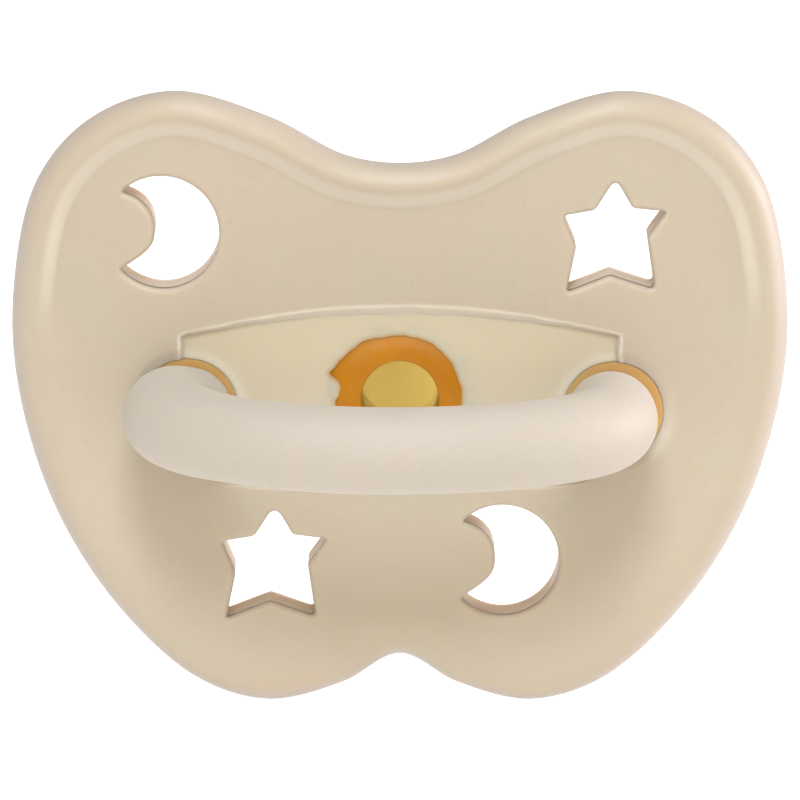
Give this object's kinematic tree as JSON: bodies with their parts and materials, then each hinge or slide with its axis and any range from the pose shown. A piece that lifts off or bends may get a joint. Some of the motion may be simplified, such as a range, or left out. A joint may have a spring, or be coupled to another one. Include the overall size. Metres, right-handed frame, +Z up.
{
  "type": "pacifier",
  "caption": "Soft rubber pacifier: a notched shield with moon and star vents, a hollow round teat and a bail handle that swings on its two rounded ends.",
  "frame": {"origin": "on the teat's axis, in the plane of the base plate's back, where the lips rest", "axes": "+Z up towards the nose notch, +X across the shield to the viewer's right when the handle faces the viewer, +Y along the teat from the handle to the tip"},
  "size_m": [0.0606, 0.0527, 0.0482],
  "materials": {
    "shield": "satin moulded milky rubber",
    "handle": "matte moulded milky rubber",
    "teat": "glossy translucent amber rubber",
    "base_plate": "satin translucent amber rubber"
  },
  "bodies": {
    "shield": {"shield": "shield", "base_plate": "base_plate", "teat": "teat"},
    "handle": {"handle": "handle"}
  },
  "joints": [
    {"name": "handle_swing", "type": "hinge", "parent": "shield", "child": "handle", "pos_m": [0, -0.005, -0.00088], "axis": [1, 0, 0], "range_deg": [-25, 25], "stiffness_Nm_per_rad": 0.04}
  ]
}
